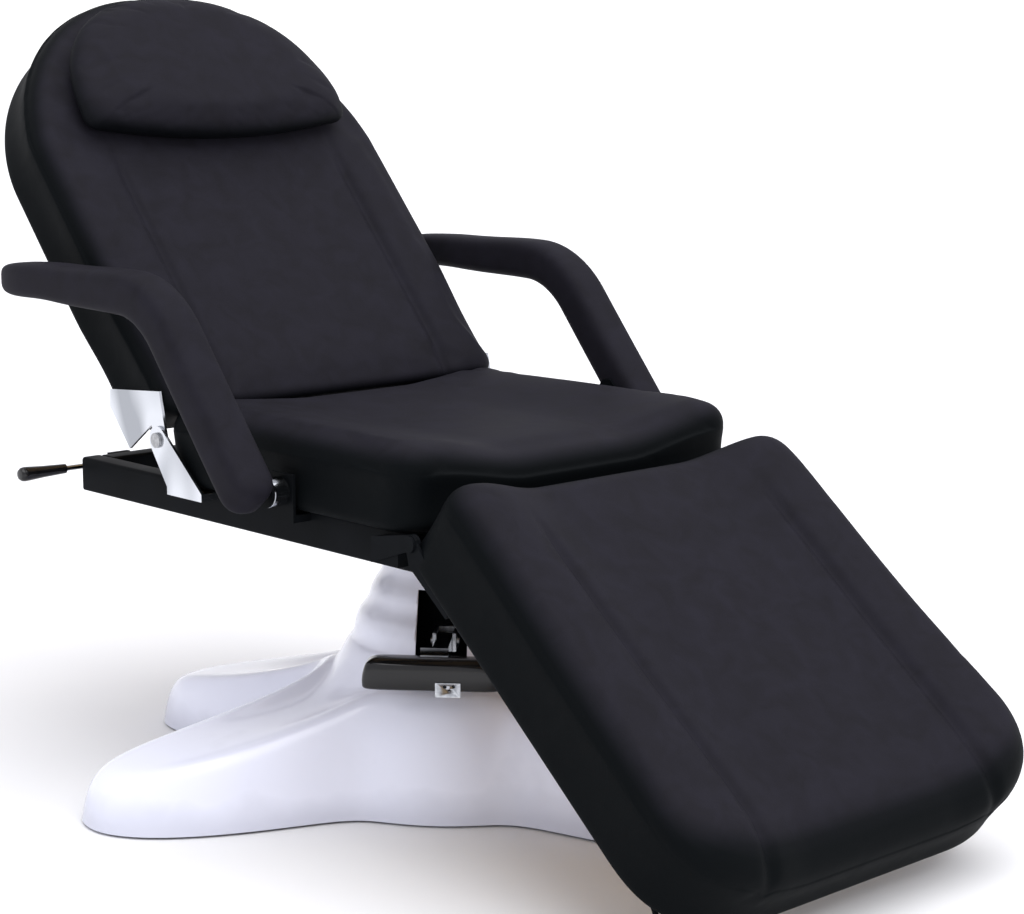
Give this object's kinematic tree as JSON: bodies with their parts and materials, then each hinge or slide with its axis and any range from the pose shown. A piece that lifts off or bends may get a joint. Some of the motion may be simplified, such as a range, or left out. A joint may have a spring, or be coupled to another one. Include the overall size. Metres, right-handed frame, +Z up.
{
  "type": "massage table",
  "caption": "Hydraulic massage table: padded seat with folding back and leg sections, swing-up armrests and a head pillow on a swivelling, foot-pumped column with a splayed base.",
  "frame": {"origin": "on the floor under the middle of the lift column", "axes": "+Z up, +Y towards the head, -Y towards the feet, -X at the patient's right hand"},
  "size_m": [1.046, 1.6527, 1.1438],
  "materials": {
    "leather": "satin",
    "black_steel": "satin",
    "chrome": "polished",
    "steel": "satin",
    "zinc": "satin",
    "white_shell": "gloss",
    "plywood": "matte",
    "gloss_black": "gloss",
    "bronze": "satin"
  },
  "bodies": {
    "base": {"base_cover": "white_shell", "base_plate": "black_steel", "pump_body": "black_steel", "pump_gland": "gloss_black", "pedal_clevis": "zinc"},
    "pedal": {"pedal_arm": "chrome", "pedal_bar": "gloss_black", "pedal_bolt_right": "zinc", "pedal_bolt_left": "zinc"},
    "lift": {"lift_ram": "chrome", "swivel_bearing": "bronze"},
    "top": {"swivel_plate": "steel", "side_tube_right": "black_steel", "side_tube_left": "black_steel", "rear_cross_tube": "black_steel", "strut_cross_tube": "black_steel", "swivel_tube_rear": "black_steel", "swivel_tube_front": "black_steel", "front_cross_bar": "black_steel", "seat_board": "plywood", "seat_cushion": "leather", "back_bracket_right": "chrome", "back_bracket_left": "chrome", "back_hinge_pin_right": "steel", "back_hinge_pin_left": "steel", "leg_lug_right": "black_steel", "leg_lug_left": "black_steel", "leg_hinge_pin_right": "steel", "leg_hinge_pin_left": "steel", "armrest_bracket_right": "black_steel", "armrest_bracket_left": "black_steel", "armrest_hub_right": "chrome", "armrest_hub_left": "chrome", "lever_bracket": "black_steel", "back_strut_clevis": "zinc", "leg_strut_clevis": "zinc"},
    "back": {"back_board": "plywood", "back_cushion": "leather", "head_pillow": "leather", "back_side_plate_right": "chrome", "back_side_plate_left": "chrome", "back_strut_lug": "zinc"},
    "leg": {"leg_board": "plywood", "leg_cushion": "leather", "leg_arm_right": "black_steel", "leg_arm_left": "black_steel", "leg_strut_lug": "zinc", "handle_clip": "black_steel"},
    "armrest_right": {"armrest_pad_right": "leather", "armrest_plate_right": "black_steel"},
    "armrest_left": {"armrest_pad_left": "leather", "armrest_plate_left": "black_steel"},
    "lever": {"lever_rod": "chrome", "lever_grip": "gloss_black"},
    "handle": {"leg_release_handle": "black_steel"},
    "back_cylinder": {"back_strut_cylinder": "gloss_black"},
    "back_rod": {"back_strut_rod": "chrome"},
    "leg_cylinder": {"leg_strut_cylinder": "gloss_black"},
    "leg_rod": {"leg_strut_rod": "chrome"}
  },
  "joints": [
    {"name": "pedal_press", "type": "hinge", "parent": "base", "child": "pedal", "pos_m": [-0.0654, -0.05888, 0.225], "axis": [0.6691, -0.7431, 0], "range_deg": [0, 14], "stiffness_Nm_per_rad": 20, "springref_deg": -11.46},
    {"name": "column_lift", "type": "slide", "parent": "base", "child": "lift", "axis": [0, 0, 1], "range_m": [0, 0.15]},
    {"name": "top_swivel", "type": "hinge", "parent": "lift", "child": "top", "pos_m": [0, 0, 0.38], "axis": [0, 0, 1], "continuous": true},
    {"name": "back_recline", "type": "hinge", "parent": "top", "child": "back", "pos_m": [0, 0.27, 0.498], "axis": [1, 0, 0], "range_deg": [-48.7, 0]},
    {"name": "leg_fold", "type": "hinge", "parent": "top", "child": "leg", "pos_m": [0, -0.2774, 0.433], "axis": [-1, 0, 0], "range_deg": [0, 38.5]},
    {"name": "armrest_right_swing", "type": "hinge", "parent": "top", "child": "armrest_right", "pos_m": [-0.35, -0.02, 0.466], "axis": [1, 0, 0], "range_deg": [0, 75]},
    {"name": "armrest_left_swing", "type": "hinge", "parent": "top", "child": "armrest_left", "pos_m": [0.35, -0.02, 0.466], "axis": [1, 0, 0], "range_deg": [0, 75]},
    {"name": "lever_lift", "type": "hinge", "parent": "top", "child": "lever", "pos_m": [-0.222, 0.5276, 0.422], "axis": [0, 1, 0], "range_deg": [0, 8], "stiffness_Nm_per_rad": 1, "springref_deg": -5.73},
    {"name": "handle_squeeze", "type": "hinge", "parent": "leg", "child": "handle", "pos_m": [-0.27, -0.67221, 0.08599], "axis": [-1, 0, 0], "range_deg": [0, 15], "stiffness_Nm_per_rad": 0.5, "springref_deg": -5.73},
    {"name": "back_strut_turn", "type": "hinge", "parent": "top", "child": "back_cylinder", "pos_m": [0, 0.285, 0.415], "axis": [1, 0, 0], "range_deg": [-42.6, 0]},
    {"name": "back_strut_slide", "type": "slide", "parent": "back_cylinder", "child": "back_rod", "axis": [0, 0.6985, 0.7156], "range_m": [-0.0664, 0]},
    {"name": "leg_strut_turn", "type": "hinge", "parent": "top", "child": "leg_cylinder", "pos_m": [0, -0.122, 0.4], "axis": [-1, 0, 0], "range_deg": [0, 18.5]},
    {"name": "leg_strut_slide", "type": "slide", "parent": "leg_cylinder", "child": "leg_rod", "axis": [0, -0.9288, -0.3705], "range_m": [0, 0.0468]}
  ],
  "couplings": [
    {"joint": "back_strut_turn", "follows": "back_recline", "ratio": 0.87444},
    {"joint": "back_strut_slide", "follows": "back_recline", "m_per_rad": 0.07805},
    {"joint": "leg_strut_turn", "follows": "leg_fold", "ratio": 0.47933},
    {"joint": "leg_strut_slide", "follows": "leg_fold", "m_per_rad": 0.06961}
  ]
}
